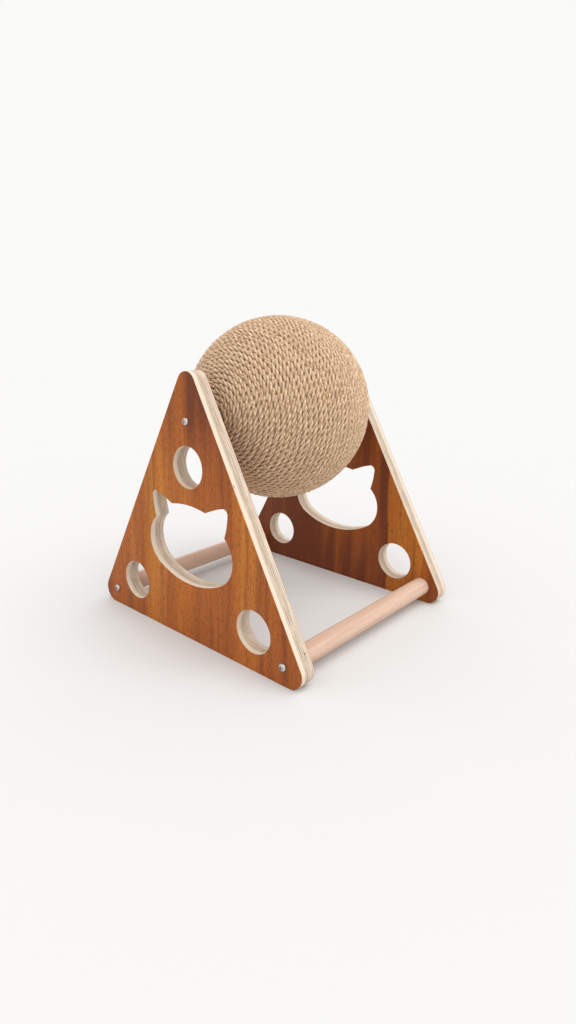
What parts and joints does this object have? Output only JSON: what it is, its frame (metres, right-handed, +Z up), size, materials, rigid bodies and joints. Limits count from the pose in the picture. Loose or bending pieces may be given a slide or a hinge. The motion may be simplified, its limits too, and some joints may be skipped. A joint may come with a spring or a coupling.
{
  "type": "cat scratching ball",
  "caption": "Rope-wound scratching ball that spins on a fixed axle between triangular plywood side panels with cat-head and round cut-outs, joined by dowels.",
  "frame": {"origin": "middle of the base, on the plane that both side panels stand on", "axes": "+X along the ball's axle from the left panel to the right panel, -Y towards the front dowel, +Z up"},
  "size_m": [0.222, 0.2378, 0.266],
  "materials": {
    "panel_ply": "cut plywood edge, pale cream with thin darker glue lines",
    "stained_veneer": "orange-brown stained veneer with upright grain streaks, satin",
    "beech_rod": "plain sanded beech, matt",
    "screw_steel": "zinc-plated steel",
    "hub_nylon": "natural nylon, smooth",
    "core_plastic": "plain moulded plastic, hidden under the rope",
    "sisal_rope": "natural tan twisted rope, dry and slightly hairy"
  },
  "bodies": {
    "frame": {"left_panel_core": "panel_ply", "right_panel_core": "panel_ply", "left_outer_veneer": "stained_veneer", "left_inner_veneer": "stained_veneer", "right_outer_veneer": "stained_veneer", "right_inner_veneer": "stained_veneer", "front_dowel": "beech_rod", "rear_dowel": "beech_rod", "ball_axle": "beech_rod", "left_front_screw": "screw_steel", "left_rear_screw": "screw_steel", "left_axle_screw": "screw_steel", "right_front_screw": "screw_steel", "right_rear_screw": "screw_steel", "right_axle_screw": "screw_steel", "left_spacer": "hub_nylon", "right_spacer": "hub_nylon"},
    "ball": {"left_core_half": "core_plastic", "right_core_half": "core_plastic", "left_bush": "hub_nylon", "right_bush": "hub_nylon", "rope_winding": "sisal_rope"}
  },
  "joints": [
    {"name": "ball_spin", "type": "hinge", "parent": "frame", "child": "ball", "pos_m": [0, 0, 0.185], "axis": [1, 0, 0], "continuous": true}
  ]
}
